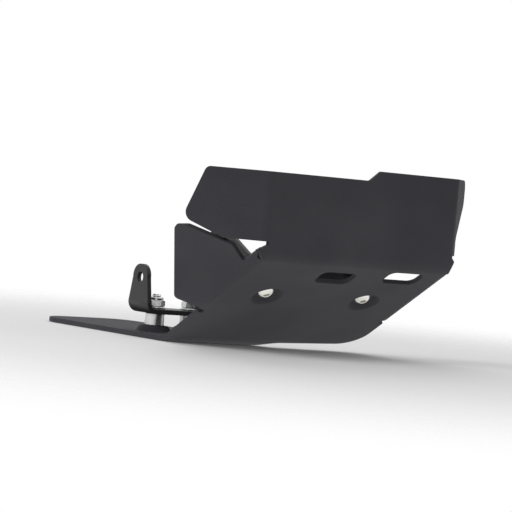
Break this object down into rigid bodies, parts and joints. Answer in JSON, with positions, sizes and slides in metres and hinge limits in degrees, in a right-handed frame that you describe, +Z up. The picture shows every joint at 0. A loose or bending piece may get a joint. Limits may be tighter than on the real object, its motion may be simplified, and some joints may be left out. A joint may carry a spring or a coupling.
{
  "type": "motorcycle engine guard",
  "caption": "Folded sheet-metal motorcycle engine guard: upright front plate with side wings, sloping slotted panel and a tongue under the engine, on bolt-on steel brackets.",
  "frame": {"origin": "middle of the front engine bolt's axis, between the front bracket's ears", "axes": "+X forward, +Y to the rider's left along the engine bolts, +Z up, in the mounted attitude"},
  "size_m": [0.3365, 0.269, 0.151],
  "materials": {
    "guard_coat": "satin fine-texture powder coat",
    "bracket_coat": "semi-matte black",
    "stainless": "bright stainless",
    "zinc_plate": "zinc plated"
  },
  "bodies": {
    "root": {"guard_plate": "guard_coat", "front_bracket": "bracket_coat", "rear_bracket": "bracket_coat", "front_screw_right": "stainless", "front_screw_left": "stainless", "rear_screw_right": "stainless", "rear_screw_left": "stainless", "front_spacer_right": "zinc_plate", "front_spacer_left": "zinc_plate", "rear_spacer_right": "zinc_plate", "rear_spacer_left": "zinc_plate", "front_washer_right": "zinc_plate", "front_washer_left": "zinc_plate", "rear_washer_right": "zinc_plate", "rear_washer_left": "zinc_plate", "front_nut_right": "zinc_plate", "front_nut_left": "zinc_plate", "rear_nut_right": "zinc_plate", "rear_nut_left": "zinc_plate"}
  },
  "joints": []
}
